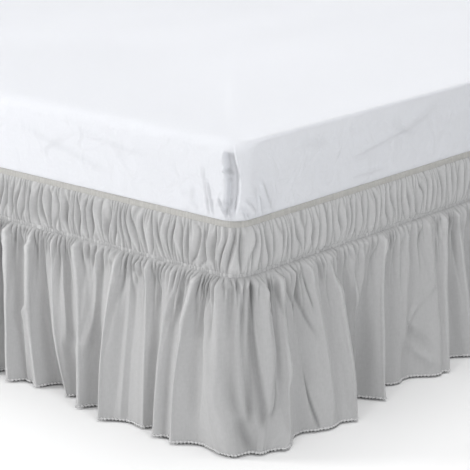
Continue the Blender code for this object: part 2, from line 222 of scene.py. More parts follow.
def grid_piece(name, points, uv, closed, mat, painted_shading=None):
    """Mesh object from a grid of points, rows by columns.

    Quads join each point to the next in its row and in its column, and the
    last column to the first where the grid is closed. uv is a grid of the same
    size, in metres of cloth, and a closed grid's has one more column. The last
    grid, if given, is painted shade for the cloth's material to read: the share
    of the colour taken away in narrow creases, and where it is below 0, a
    painted highlight.
    """
    rows, cols = points.shape[:2]
    number = np.arange(rows * cols).reshape(rows, cols)
    right = np.roll(number, -1, axis=1) if closed else number[:, 1:]
    left = number if closed else number[:, :-1]
    quads = np.stack([left[1:], right[1:], right[:-1], left[:-1]], axis=-1).reshape(-1, 4)
    uv_number = np.arange(uv.shape[0] * uv.shape[1]).reshape(uv.shape[:2])
    u_left, u_right = uv_number[:, :-1], uv_number[:, 1:]
    u_quads = np.stack([u_left[1:], u_right[1:], u_right[:-1], u_left[:-1]], axis=-1).reshape(-1, 4)
    mesh = bpy.data.meshes.new(name)
    mesh.vertices.add(rows * cols)
    mesh.vertices.foreach_set("co", points.reshape(-1, 3).astype(np.float32).ravel())
    mesh.loops.add(quads.size)
    mesh.loops.foreach_set("vertex_index", quads.ravel().astype(np.int32))
    mesh.polygons.add(len(quads))
    mesh.polygons.foreach_set("loop_start", np.arange(0, quads.size, 4, dtype=np.int32))
    mesh.update(calc_edges=True)
    mesh.validate()
    layer = mesh.uv_layers.new(name="cloth")
    layer.data.foreach_set("uv", uv.reshape(-1, 2)[u_quads.ravel()].astype(np.float32).ravel())
    # Painted shade and painted highlight, stored on the points for the cloth to darken or lighten its colour.
    if painted_shading is not None:
        shade = mesh.attributes.new("painted_shading", "FLOAT", "POINT")
        shade.data.foreach_set("value", painted_shading.astype(np.float32).ravel())
    mesh.polygons.foreach_set("use_smooth", np.ones(len(quads), dtype=bool))
    mesh.materials.append(mat)
    piece = bpy.data.objects.new(name, mesh)
    bpy.context.scene.collection.objects.link(piece)
    return piece


def from_corner(around, middle):
    """Signed distance round the loop from a corner's middle."""
    return np.mod(around - middle + LOOP / 2, LOOP) - LOOP / 2


def stations(step, near_step, reach, middles=CORNER_MIDDLES):
    """Distances round the loop, spaced near_step within reach of the middles and step elsewhere."""
    fine = np.arange(0.0, LOOP, near_step / 4)
    away = np.min([np.abs(from_corner(fine, m)) for m in middles], axis=0)
    density = 1.0 / (near_step + (step - near_step) * np.clip((away - reach) / 0.055, 0.0, 1.0))
    filled = np.concatenate([[0.0], np.cumsum(density * near_step / 4)])
    count = int(round(filled[-1]))
    return np.interp(np.arange(count) * filled[-1] / count, filled, np.append(fine, LOOP))


def ring_points(around, profile, out):
    """Rows of points on the bed's rounded block.

    profile rows are (inset, z). An inset up to NORMAL_INSET moves in along the
    normal; the rest of it shrinks the outline to the bed's middle, the width
    by a power of the length's share, so that both start at the same pace.
    """
    inset, z = profile[:, 0:1], profile[:, 1:2]
    x, y, _, _ = round_bed(around[None, :], out - np.minimum(inset, NORMAL_INSET))
    left = 1.0 - np.minimum(np.maximum(inset - NORMAL_INSET, 0.0) / HALF_LENGTH, 1.0)
    x = x * left ** (HALF_LENGTH / HALF_WIDTH)
    y = y * left
    return np.stack([x, y, np.broadcast_to(z, x.shape)], axis=-1)


def loop_uv(around, rows, heights):
    """Cloth coordinates of a closed band: distance round, and height."""
    u = np.append(around, LOOP)
    return np.stack(np.broadcast_arrays(u[None, :], np.reshape(heights, (rows, 1))), axis=-1)


ticking, tree, shader = fresh_material("ticking")
bands = {"Vector": object_point(tree), "Scale": 90.0, "Distortion": 0.4}
wave = add_node(tree, "ShaderNodeTexWave", bands, wave_type="BANDS", bands_direction="DIAGONAL")
stripe = wave.outputs["Fac"]
two_tone(tree, shader, stripe, (0.74, 0.74, 0.73), (0.82, 0.82, 0.81))
bump = add_node(tree, "ShaderNodeBump", {"Height": stripe, "Strength": 0.25, "Distance": 0.0004})
tree.links.new(bump.outputs["Normal"], shader.inputs["Normal"])
shader.inputs["Roughness"].default_value = 0.85

mattress_around = stations(0.05, 0.008, 0.06)
mattress_profile = np.array(
    [(MIDDLE_INSET, MATTRESS_BOTTOM), (0.30, MATTRESS_BOTTOM), (0.012, MATTRESS_BOTTOM),
     (0.004, MATTRESS_BOTTOM + 0.004), (0.0, MATTRESS_BOTTOM + 0.012), (0.0, 0.36), (0.0, 0.43)]
    + list(CROWN) + [(0.10, MATTRESS_TOP), (0.40, MATTRESS_TOP), (MIDDLE_INSET, MATTRESS_TOP)]
)[::-1]
# The foam gives way behind the sheet's corner pockets.
near = sum(np.exp(-((from_corner(mattress_around, m) / POCKET_DENT_REACH) ** 4)) for m in CORNER_MIDDLES)
level = np.exp(-(((mattress_profile[:, 1:2] - POCKET_DENT_MIDDLE) / POCKET_DENT_HEIGHT) ** 4))
mattress_points = ring_points(mattress_around, mattress_profile, -POCKET_DENT * near * level)
mattress_uv = loop_uv(mattress_around, len(mattress_profile), mattress_profile[:, 1])
mattress = grid_piece("mattress_block", mattress_points, mattress_uv, True, ticking)
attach(mattress, "root")
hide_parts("mattress")


# Fitted sheet: one piece of white cotton boxed over the mattress, pulled tight
# under it, with an upright pleat folded in at each corner, the pocket beside it
# shadowed by its depth and darkened further by painted shade, and small drag
# lines where the skirt's elastic grips it. A strip of painted shadow runs beside
# each crease.

def noise_field(x, y, period, seed):
    """Smooth gradient noise between about -1 and 1 on a grid of unit cells.

    Each lattice point has a random slope; the value is the blend of the four
    nearest slopes with a smooth quintic weight. x repeats after period cells.
    """
    rng = np.random.default_rng(seed)
    x, y = np.broadcast_arrays(x, y)
    y = y - np.floor(y.min())
    turn = rng.uniform(0.0, 2 * math.pi, (period, int(np.ceil(y.max())) + 2))
    gx, gy = np.cos(turn), np.sin(turn)
    i, j = np.floor(x).astype(int), np.floor(y).astype(int)
    fx, fy = x - i, y - j
    wx = fx ** 3 * (fx * (fx * 6 - 15) + 10)
    wy = fy ** 3 * (fy * (fy * 6 - 15) + 10)

    def corner(di, dj):
        a, b = np.mod(i + di, period), j + dj
        return gx[a, b] * (fx - di) + gy[a, b] * (fy - dj)

    low = corner(0, 0) * (1 - wx) + corner(1, 0) * wx
    high = corner(0, 1) * (1 - wx) + corner(1, 1) * wx
    return 1.5 * (low * (1 - wy) + high * wy)


def ease(x):
    """0 to 1 as x goes from 0 to 1, flat at both ends, from a cubic."""
    x = np.clip(x, 0.0, 1.0)
    return x * x * (3.0 - 2.0 * x)


def crease(along, z, start, end, width, height):
    """Soft ridge of a Gaussian section along the line from start to end, dying out at its ends."""
    dx, dz = end[0] - start[0], end[1] - start[1]
    length = math.hypot(dx, dz)
    run = ((along - start[0]) * dx + (z - start[1]) * dz) / length ** 2
    off = ((along - start[0]) * dz - (z - start[1]) * dx) / length
    return height * np.exp(-((off / width) ** 2)) * ease(run * 4) * ease((1 - run) * 4)


def cloth_material(name, colour, shade, thread, bump_height, roughness, sheen, crumple=0.0):
    """Woven cloth on its own UV, in metres: crossed threads, slubs and a faint uneven tone.

    The colour is cut by the piece's painted shade, a share stored on its points,
    and raised by a painted highlight where that share is below 0. Where crumple
    is more than 0, soft noise of that height in metres is added on the sides,
    and a quarter of it on the bed's top.
    """
    mat, tree, shader = fresh_material(name)
    uv = add_node(tree, "ShaderNodeUVMap", uv_map="cloth").outputs["UV"]

    def math_node(operation, a, b):
        return add_node(tree, "ShaderNodeMath", {0: a, 1: b}, operation=operation).outputs[0]

    bands = {"Vector": uv, "Scale": thread, "Distortion": 0.8, "Detail": 1.0, "Detail Scale": 2.0}
    warp = add_node(tree, "ShaderNodeTexWave", bands, wave_type="BANDS", bands_direction="X").outputs["Fac"]
    weft = add_node(tree, "ShaderNodeTexWave", bands, wave_type="BANDS", bands_direction="Y").outputs["Fac"]
    uneven = {"Vector": uv, "Scale": 170.0, "Detail": 5.0, "Roughness": 0.65}
    cloud = add_node(tree, "ShaderNodeTexNoise", uneven).outputs["Fac"]
    stretch = add_node(tree, "ShaderNodeMapping", {"Vector": uv, "Scale": (900.0, 60.0, 1.0)}).outputs[0]
    thick_thin = {"Vector": stretch, "Scale": 1.0, "Detail": 3.0}
    slub = add_node(tree, "ShaderNodeTexNoise", thick_thin).outputs["Fac"]
    mean = math_node("MULTIPLY", math_node("ADD", cloud, slub), 0.5)
    tint = add_node(tree, "ShaderNodeValToRGB", {"Fac": mean})
    tint.color_ramp.elements[0].position = 0.3
    tint.color_ramp.elements[1].position = 0.7
    tint.color_ramp.elements[0].color = (*[c * (1.0 - shade) for c in colour], 1.0)
    tint.color_ramp.elements[1].color = (*[min(c * (1.0 + shade), 1.0) for c in colour], 1.0)
    # Painted shade and painted highlight: the colour is scaled by one less the piece's stored share.
    painted_shading = add_node(tree, "ShaderNodeAttribute", attribute_name="painted_shading").outputs["Fac"]
    shading = {0: tint.outputs["Color"], "Scale": math_node("SUBTRACT", 1.0, painted_shading)}
    shaded = add_node(tree, "ShaderNodeVectorMath", shading, operation="SCALE")
    tree.links.new(shaded.outputs[0], shader.inputs["Base Color"])
    threads = math_node("ADD", math_node("ADD", warp, weft), slub)
    bump = add_node(tree, "ShaderNodeBump", {"Height": threads, "Strength": 0.5, "Distance": bump_height})
    if crumple:
        point = object_point(tree)
        lumps = {"Vector": point, "Scale": 20.0, "Detail": 5.0, "Distortion": 1.2}
        rumpled = add_node(tree, "ShaderNodeTexNoise", lumps).outputs["Fac"]
        z = add_node(tree, "ShaderNodeSeparateXYZ", {"Vector": point}).outputs["Z"]
        level = {"Value": z, "From Min": 0.525, "From Max": MATTRESS_TOP, "To Min": 1.0, "To Max": 0.25}
        strength = add_node(tree, "ShaderNodeMapRange", level).outputs["Result"]
        creased = {"Height": rumpled, "Strength": strength, "Distance": crumple}
        bump = add_node(tree, "ShaderNodeBump", {**creased, "Normal": bump.outputs["Normal"]})
    tree.links.new(bump.outputs["Normal"], shader.inputs["Normal"])
    shader.inputs["Roughness"].default_value = roughness
    shader.inputs["Sheen Weight"].default_value = sheen
    shader.inputs["Sheen Roughness"].default_value = 0.35
    shader.inputs["Specular IOR Level"].default_value = 0.25
    return mat


SHEET_OUT = 0.0018
SHEET_BOTTOM = 0.3000
SHEET_TOP = 0.5462
SKIRT_TOP = 0.406

sheet_cloth = cloth_material("white_cotton", (0.740, 0.752, 0.787), 0.02, 500.0, 0.0003, 0.85, 0.15, 0.0045)

# Columns: z, s - height, and place round the corner of the pleat's rolled edge.
FLAP_EDGE = (
    (0.400, -0.004), (0.420, 0.000), (0.436, 0.003), (0.460, 0.006),
    (0.484, 0.006), (0.503, 0.004), (0.517, 0.000), (0.535, -0.003),
)
FLAP_RISE = 0.0060
FLAP_TURN = 0.0035
FLAP_FADE = 0.030
HOLLOW = 0.0125
HOLLOW_LIMIT = HOLLOW + 0.0015
POCKET_WIDTH = 0.0265
POCKET_TOP = 0.5285
# Painted shade darkening the pocket beside each pleat, on top of its real hollow.
POCKET_SHADE = 0.16
DRAG_PITCH = 0.011
DRAG_HEIGHT = 0.0020
DRAG_REACH = 0.11
# Painted shadow beside each crease: its strength, and how many half widths it sits to the crease's side.
CREASE_SHADE = 26.0
CREASE_SHADE_SHIFT = 1.4
# Columns: s, z of one end, s, z of the other, half width, height - drag lines and
# creases on both sides of the near corner.
SHEET_CREASES = (
    (-0.040, 0.450, -0.014, 0.404, 0.0017, 0.0042),
    (-0.028, 0.446, -0.006, 0.404, 0.0017, 0.0042),
    (-0.077, 0.505, -0.058, 0.404, 0.0030, 0.0042),
    (-0.066, 0.480, -0.046, 0.404, 0.0026, 0.0038),
    (-0.104, 0.462, -0.092, 0.404, 0.0034, 0.0040),
    (-0.122, 0.450, -0.112, 0.404, 0.0034, 0.0036),
    (0.050, 0.474, 0.084, 0.402, 0.0032, 0.0058),
    (0.040, 0.470, 0.058, 0.404, 0.0080, -0.0030),
    (0.048, 0.446, 0.056, 0.404, 0.0024, 0.0044),
    (0.006, 0.448, 0.040, 0.412, 0.0034, 0.0044),
    (0.004, 0.436, 0.028, 0.406, 0.0030, -0.0034),
    (0.007, 0.424, 0.016, 0.402, 0.0020, 0.0036),
    (0.016, 0.420, 0.024, 0.402, 0.0018, 0.0030),
    (-0.026, 0.500, -0.008, 0.488, 0.0042, 0.0080),
    (-0.024, 0.482, -0.010, 0.476, 0.0030, -0.0024),
    (0.280, 0.460, 0.610, 0.511, 0.0050, 0.0024),
    (0.300, 0.428, 0.420, 0.426, 0.0045, 0.0020),
    (0.150, 0.505, 0.240, 0.498, 0.0040, 0.0022),
    (0.420, 0.505, 0.520, 0.470, 0.0050, 0.0022),
    (-0.550, 0.500, -0.300, 0.440, 0.0070, 0.0018),
    (-0.420, 0.515, -0.200, 0.490, 0.0050, 0.0014),
    (-0.300, 0.512, -0.270, 0.470, 0.0050, 0.0016),
    (-0.500, 0.450, -0.420, 0.500, 0.0060, 0.0016),
)

sheet_around = stations(0.013, 0.0017, 0.055)
side_heights = np.append(np.linspace(SHEET_BOTTOM, 0.396, 5), np.linspace(0.4015, 0.505, 34))
crown_heights = np.array([(0.0, 0.509), (0.0005, 0.513), (0.0012, 0.517), (0.0020, 0.5205), (0.0032, 0.524),
                          (0.0042, 0.5272), (0.006, 0.5305), (0.010, 0.536), (0.015, 0.5402),
                          (0.022, 0.5432), (0.032, 0.5451), (0.046, 0.5458), (0.065, 0.5461)])
top_insets = np.array([0.10, 0.15, 0.20, 0.26, 0.33, 0.41, 0.50, 0.60, 0.72, 0.86, MIDDLE_INSET])
sheet_profile = np.vstack([
    np.column_stack([np.zeros(len(side_heights)), side_heights]),
    crown_heights,
    np.column_stack([top_insets, np.full(len(top_insets), SHEET_TOP)]),
])[::-1]
A, Z = sheet_around[None, :], sheet_profile[:, 1:2]
on_side = ease((0.535 - Z) / 0.03)
above_skirt = ease((Z - SKIRT_TOP - 0.002) / 0.03)
puff = np.zeros((len(sheet_profile), len(sheet_around)))
painted_shading = np.zeros(puff.shape)
edge = np.interp(Z, *np.transpose(FLAP_EDGE))
for middle in CORNER_MIDDLES:
    s = from_corner(A, middle)
    d = s - edge
    over = ease((d + FLAP_TURN) / FLAP_TURN)
    pocket = ease((d + POCKET_WIDTH) / 0.006) * (1.0 - 0.35 * ease((d + 0.020) / 0.014))
    below_crown = ease((POCKET_TOP - Z) / 0.007)
    flap = over * FLAP_RISE * np.exp(-np.maximum(d, 0.0) / FLAP_FADE) * ease((0.543 - Z) / 0.020)
    flap = flap - (1.0 - over) * HOLLOW * pocket * below_crown
    puff = puff + flap * above_skirt
    # Painted shade in the pocket, added to the colour's shading share.
    painted_shading = painted_shading + POCKET_SHADE * (1.0 - over) * pocket * above_skirt * below_crown
    slanted = A / DRAG_PITCH + 0.35 * np.sign(s) * (Z - SKIRT_TOP) / DRAG_PITCH
    drag = np.clip(noise_field(slanted, Z / 0.055, round(LOOP / DRAG_PITCH), 21), 0.0, 1.0)
    drag = drag * np.exp(-((s / DRAG_REACH) ** 2)) * ease((0.485 - Z) / 0.06)
    puff = puff + DRAG_HEIGHT * drag * above_skirt
wave = noise_field(A / 0.16, Z / 0.09, round(LOOP / 0.16), 22)
fine = noise_field(A / 0.035, Z / 0.035, round(LOOP / 0.035), 23)
puff = puff + on_side * above_skirt * (0.0016 * wave + 0.0005 * fine)
s = from_corner(A, 0.0)
for s0, z0, s1, z1, width, height in SHEET_CREASES:
    puff = puff + crease(s, Z, (s0, z0), (s1, z1), width, height) * ease((Z - SKIRT_TOP) / 0.006)
    # Painted shadow: a strip beside each crease, shifted off its ridge.
    beside = s - CREASE_SHADE_SHIFT * width
    painted_shading = painted_shading + CREASE_SHADE * crease(beside, Z, (s0, z0), (s1, z1), width, abs(height))
puff = np.maximum(puff, -HOLLOW_LIMIT)
# The crown's edge is sharper along the right side than elsewhere.
inset = sheet_profile[:, 0:1]
crisp = 0.8 * np.minimum(inset, 0.03) * ease((0.10 - inset) / 0.05)
crisp = crisp * ease(s / 0.05) * ease((SIDE_RUN - s) / 0.05)
sheet_points = ring_points(sheet_around, sheet_profile, SHEET_OUT + puff + crisp)
right_side = ease(s / 0.06) * ease((SIDE_RUN - s) / 0.06)
sheet_points[..., 2] += 0.80 * right_side * np.maximum(SHEET_TOP - Z, 0.0) * ease((Z - 0.490) / 0.030)
# The top is flat but for a faint ripple.
X, Y = sheet_points[..., 0], sheet_points[..., 1]
flat_part = ease((inset - 0.02) / 0.10) * ease((MIDDLE_INSET - inset) / 0.4)
slow_ripple = noise_field((X + 2) / 0.22, (Y + 2) / 0.30, 40, 24)
quick_ripple = noise_field((X + 2) / 0.07, (Y + 2) / 0.09, 90, 25)
sheet_points[..., 2] += SHEET_OUT * (inset > 0) + 0.0008 * flat_part * (slow_ripple + 0.4 * quick_ripple)
run_down = np.append(0.0, np.cumsum(np.hypot(*np.diff(sheet_profile, axis=0).T)))
sheet_uv = loop_uv(sheet_around, len(sheet_profile), run_down)
fitted = grid_piece("sheet_boxed", sheet_points, sheet_uv, True, sheet_cloth, painted_shading)
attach(fitted, "root")
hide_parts("fitted_sheet")


# Binding: the skirt's top edge, a soft covered elastic 12 mm tall and pulled
# tight round the sheet, its cloth ruched very finely.

SKIRT_IN = 0.0021
BINDING_HEIGHT = 0.0118

elastic_cloth = cloth_material("covered_elastic", (0.48, 0.472, 0.452), 0.05, 400.0, 0.0004, 0.85, 0.2)


def band_points(around, low, high, rows, out):
    """Rows of points of a band round the bed, from high down to low, out from it by the grid out."""
    z = np.linspace(high, low, rows)[:, None]
    x, y, _, _ = round_bed(around[None, :], out)
    return np.stack([x, y, np.broadcast_to(z, x.shape)], axis=-1), z


def gathers(phase, depth, period, family, seed, ends, width, lean):
    """Height from 0 to 1 of upright gathers that join, family by family, and of the groove beside each.

    Lines start at the whole numbers of phase. The first line of each family
    runs on, and the others bend over to the nearest first line, which they
    meet at a chance depth between the two ends. A line's section is a tent
    with a slightly rounded ridge, width wide on each side. Where lean is above
    0, up to 1, its far side is steeper and its near side longer, and below 0,
    down to -1, the other way round. The groove is a narrow tent at the foot of
    the steep side. The highest line counts at each place, and the lines repeat
    after period.
    """
    chance = np.random.default_rng(seed).uniform(0.0, 1.0, (3, period))
    near = width * (1.0 + np.where(lean > 0, 0.5, 0.6) * lean)
    far = width * (1.0 - np.where(lean > 0, 0.6, 0.5) * lean)
    power = 1.0 + np.where(lean > 0, 0.5, 0.2) * lean
    steep = np.where(lean > 0, far, near)
    beside = 1.15 * np.where(lean > 0, far, -near)
    height, groove = np.zeros(np.broadcast(phase, depth).shape), 0.0
    for step in (-1, 0, 1, 2):
        line = np.floor(phase).astype(int) + step
        tall, late, which = chance[:, np.mod(line, period)]
        member = np.mod(line, family)
        bend = np.where(2 * member + which - 0.5 < family, -member, family - member)
        place = line + bend * (member > 0) * ease(depth / (ends[0] + (ends[1] - ends[0]) * late))
        off = phase - place
        away = np.minimum((np.sqrt(off ** 2 + 0.06 ** 2) - 0.06) / np.where(off > 0, far, near), 1.0)
        height = np.maximum(height, (0.6 + 0.4 * tall) * (1.0 - away ** power))
        groove = np.maximum(groove, (0.6 + 0.4 * tall) * (1.0 - np.abs(off - beside) / (0.5 * steep + 0.12)))
    return height, groove * (1.0 - height)


def far_lean(around):
    """1 on the right and head sides, where gathers lean away from the near corner, and 0 on the others."""
    s = from_corner(around, 0.0)
    return ease((s + 0.02) / 0.04) * ease((LOOP / 2 - s) / 0.04)


def ruched_band(name, around, low, high, thick, tall, gathered, mat):
    """Flat band swelling as the square root of a circle's section, crossed by gathers.

    gathered holds the gathers' heights and grooves in one row each, and tall
    is the height in metres. Half of it is left at the band's edges, and a third
    of it pulls them up and down. Grooves and low places get painted shade, and
    the gathers' ridges a little painted highlight.
    """
    lines = tall * gathered[0]
    v = np.linspace(-1.0, 1.0, 8)[:, None]
    swell = np.sqrt(np.sqrt(np.maximum(1.0 - v ** 2, 0.0)))
    points, z = band_points(around, low, high, 8, SKIRT_IN + swell * thick + (0.5 + 0.5 * swell) * lines)
    points[..., 2] -= 0.35 * v * lines
    # Painted shade in the grooves and low places, painted highlight on the ridges.
    dark = 0.32 * gathered[1] + 0.12 * (1.0 - gathered[0]) ** 2 - 0.08 * gathered[0]
    painted_shading = np.broadcast_to(dark, z.shape[:1] + lines.shape[1:])
    piece = grid_piece(name, points, loop_uv(around, 8, z), True, mat, painted_shading)
    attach(piece, "root")
    return piece


def pucker_phase(around, v):
    """Number of the half pucker at each place; v is 0 at the heading's low edge and 1 at its top.

    Half puckers are 10 mm apart, moved about by smooth noise of two sizes.
    """
    small = noise_field(around / 0.030, v * 1.3 + 0.2, round(LOOP / 0.030), 41)
    large = noise_field(around / 0.11, v * 0.8 + 0.6, round(LOOP / 0.11), 44)
    return around / LOOP * PUCKERS + 1.1 * small + 1.3 * large


PUCKERS = 4 * round(LOOP / 0.0370)
binding_around = stations(0.0024, 0.0012, 0.64, (0.0,))
binding_phase = pucker_phase(binding_around[None, :], 1.0)
binding_lines = gathers(2.0 * binding_phase, 0.0, 2 * PUCKERS, 2, 43, (0.5, 1.0), 0.8, 0.0)
binding_low = SKIRT_TOP - BINDING_HEIGHT
binding = ruched_band(
    "top_binding", binding_around, binding_low, SKIRT_TOP, 0.0022, 0.0014, binding_lines, elastic_cloth,
)
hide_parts("top_elastic")


# Heading: the band of skirt cloth between the two elastics, which looks a tint
# lighter than the ruffle; the same cloth is given a lighter grey here as painted
# light. Both elastics gather it, so it puffs out between them in upright puckers
# that fork and join.

# Painted light: the ruffle's cloth made a tint lighter for the heading and the seam.
HEADING_LIGHTENED_GREY = (0.50, 0.50, 0.502)
heading_cloth = cloth_material("grey_microfibre_heading", HEADING_LIGHTENED_GREY, 0.07, 420.0, 0.0003, 0.95, 0.25)

HEADING_TOP = 0.3958
HEADING_LOW = 0.3080
HEADING_ROWS = 18
PUCKER_HEIGHT = 0.0090
PUCKER_JOINS = (0.15, 0.85)

heading_around = stations(0.00145, 0.0008, 0.64, (0.0,))
v = np.linspace(0.0, 1.0, HEADING_ROWS)[:, None]
A = heading_around[None, :]
phase = pucker_phase(A, v)
puffs = noise_field(A / 0.05, v * 1.1 + 0.6, round(LOOP / 0.05), 45)
bulge = np.sin(np.pi * v) ** 0.5
lean = 1.5 * far_lean(A) - 0.5
lines, grooves = np.maximum(
    gathers(phase, v, PUCKERS, 2, 42, PUCKER_JOINS, 0.80, lean),
    gathers(phase, 1.0 - v, PUCKERS, 2, 43, PUCKER_JOINS, 0.80, lean),
)
puckers = (PUCKER_HEIGHT + 0.0008 * lean) * (0.25 + 0.75 * bulge) * lines
out = SKIRT_IN + 0.0001 + bulge * (0.0022 + 0.0012 * puffs) + puckers
points, z = band_points(heading_around, HEADING_LOW, HEADING_TOP, HEADING_ROWS, out)
# Painted shade in the grooves and between the puckers, painted highlight on their ridges.
painted_shading = 0.34 * grooves + 0.16 * (1.0 - lines) ** 2 - 0.09 * lines
heading_uv = loop_uv(heading_around, HEADING_ROWS, z)
heading = grid_piece("gathered_heading", points, heading_uv, True, heading_cloth, painted_shading)
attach(heading, "root")
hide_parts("heading")


# Seam: a narrow elastic sewn in where heading and ruffle meet. The skirt's own
# cloth covers it, tightly ruched.

SEAM_LOW = 0.3030
SEAM_TOP = 0.3096

seam_around = stations(0.0018, 0.0010, 0.64, (0.0,))
seam_phase = 1.5 * pucker_phase(seam_around[None, :], 0.0)
seam_lines = gathers(seam_phase, 0.0, 3 * PUCKERS // 2, 1, 51, (0.5, 1.0), 0.7, 0.0)
# The seam uses the heading's lightened grey, which is painted light.
seam = ruched_band("seam_ruche", seam_around, SEAM_LOW, SEAM_TOP, 0.0006, 0.0042, seam_lines, heading_cloth)
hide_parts("seam_elastic")


# Ruffle: the hanging part, gathered to about half its width at the seam. Its
# fine gathers join into about ninety main folds that flare to the hem. The
# folds near the photographed corner are placed one by one.

SKIRT_GREY = (0.46, 0.46, 0.462)
skirt_cloth = cloth_material("grey_microfibre", SKIRT_GREY, 0.07, 420.0, 0.0003, 0.95, 0.25)

RUFFLE_TOP = 0.3048
RUFFLE_HEM = 0.0045
RUFFLE_AT_SEAM = 0.0024
HEM_LIFT = 0.0010
PUFF_SHARE = 0.10
PUFF_DEPTH = 0.05
FLARE_POWER = 1.06
FOLD_SQUARENESS = 0.15
CRISPNESS = 0.60

# Columns: top, middle, hem - where the ridge runs, measured round the bed from the corner;
# reach - how far the ridge stands out at the hem; valley_at, valley - the valley after it.
CORNER_FOLDS = (
    (-0.568, -0.555, -0.524, 0.072, -0.492, 0.040),
    (-0.503, -0.498, -0.457, 0.058, -0.430, 0.014),
    (-0.442, -0.434, -0.377, 0.053, -0.349, 0.030),
    (-0.385, -0.350, -0.318, 0.082, -0.283, 0.045),
    (-0.268, -0.273, -0.245, 0.100, -0.196, 0.070),
    (-0.196, -0.179, -0.155, 0.076, -0.136, 0.056),
    (-0.133, -0.134, -0.113, 0.092, -0.091, 0.080),
    (-0.070, -0.089, -0.066, 0.096, -0.023, 0.067),
    (-0.024, -0.014, -0.003, 0.098, 0.004, 0.091),
    (0.036, 0.021, 0.010, 0.098, 0.016, 0.093),
    (0.080, 0.060, 0.022, 0.100, 0.084, 0.069),
    (0.163, 0.169, 0.144, 0.099, 0.171, 0.094),
    (0.229, 0.228, 0.204, 0.107, 0.228, 0.030),
    (0.303, 0.295, 0.256, 0.055, 0.281, 0.020),
    (0.400, 0.362, 0.325, 0.083, 0.368, 0.028),
    (0.446, 0.442, 0.418, 0.047, 0.439, 0.043),
    (0.540, 0.539, 0.506, 0.081, 0.517, 0.078),
    (0.593, 0.565, 0.530, 0.085, 0.581, 0.032),
    (0.637, 0.645, 0.640, 0.064, 0.674, 0.030),
)
CORNER_ROWS = CORNER_FOLDS[7:11]
CORNER_SPLIT_ROW = 1
# Columns: s and t at the start, middle and end, height, half width, and 1 if the ridge may lean -
# small ridges that leave or join the main ones; s is the place round the corner, t the depth
# from seam to hem.
SMALL_RIDGES = (
    (-0.505, 0.08, -0.502, 0.55, -0.487, 1.10, 0.0080, 0.010, 1),
    (-0.502, 0.50, -0.511, 0.62, -0.523, 0.72, 0.0060, 0.009, 0),
    (-0.418, 0.03, -0.415, 0.33, -0.398, 0.72, 0.0065, 0.010, 1),
    (-0.328, 0.03, -0.325, 0.35, -0.334, 0.72, 0.0065, 0.010, 1),
    (-0.260, 0.02, -0.266, 0.13, -0.270, 0.28, 0.0055, 0.007, 1),
    (-0.238, 0.01, -0.230, 0.45, -0.211, 1.05, 0.0070, 0.011, 1),
    (-0.214, 0.01, -0.220, 0.09, -0.229, 0.22, 0.0055, 0.007, 1),
    (-0.164, 0.01, -0.164, 0.10, -0.166, 0.22, 0.0055, 0.007, 1),
    (-0.118, 0.01, -0.119, 0.14, -0.120, 0.30, 0.0060, 0.007, 1),
    (-0.069, 0.00, -0.081, 0.21, -0.094, 0.42, 0.0070, 0.009, 1),
    (-0.053, 0.02, -0.023, 0.48, 0.001, 1.05, 0.0085, 0.010, 1),
    (-0.019, 0.02, -0.016, 0.30, -0.012, 0.80, 0.0065, 0.008, 1),
    (-0.002, 0.05, -0.003, 0.40, -0.001, 0.85, 0.0060, 0.008, 1),
    (0.014, 0.01, 0.008, 0.30, 0.007, 0.90, 0.0110, 0.010, 1),
    (0.031, 0.01, 0.036, 0.25, 0.013, 0.85, 0.0110, 0.010, 1),
    (0.079, 0.01, 0.070, 0.38, 0.052, 0.70, 0.0100, 0.010, 1),
    (0.122, 0.01, 0.108, 0.45, 0.115, 1.05, 0.0120, 0.012, 1),
    (0.143, 0.01, 0.150, 0.15, 0.158, 0.35, 0.0070, 0.008, 1),
    (0.165, 0.02, 0.172, 0.47, 0.153, 1.05, 0.0060, 0.014, 0),
    (0.222, 0.02, 0.234, 0.30, 0.219, 1.05, 0.0080, 0.010, 1),
    (0.262, 0.00, 0.250, 0.14, 0.249, 0.32, -0.0080, 0.007, 0),
    (0.349, 0.00, 0.322, 0.28, 0.294, 0.45, 0.0100, 0.010, 1),
    (0.489, 0.05, 0.465, 0.44, 0.444, 0.80, 0.0065, 0.010, 1),
    (0.545, 0.40, 0.488, 0.57, 0.438, 0.74, 0.0060, 0.011, 0),
    (0.436, 0.72, 0.476, 0.85, 0.521, 1.02, 0.0060, 0.011, 0),
    (0.462, 0.66, 0.480, 0.76, 0.500, 0.88, -0.0050, 0.018, 0),
    (0.001, 0.78, 0.003, 0.90, 0.004, 1.05, -0.0024, 0.009, 0),
    (0.016, 0.02, 0.010, 0.35, 0.006, 0.85, -0.0036, 0.0036, 0),
    (0.036, 0.02, 0.042, 0.24, 0.020, 0.72, -0.0030, 0.0036, 0),
    (0.070, 0.05, 0.074, 0.28, 0.055, 0.75, -0.0030, 0.0036, 0),
    (0.090, 0.02, 0.115, 0.30, 0.116, 0.80, -0.0032, 0.0036, 0),
    (0.124, 0.02, 0.133, 0.22, 0.160, 0.50, -0.0030, 0.0036, 0),
)
SMALL_RIDGE_REACH = 0.58
# Painted shade of the small ridges' grooves and troughs, and the most of it.
GROOVE_SHADE = 160.0
TROUGH_SHADE = 0.30
DARKEST = 0.35
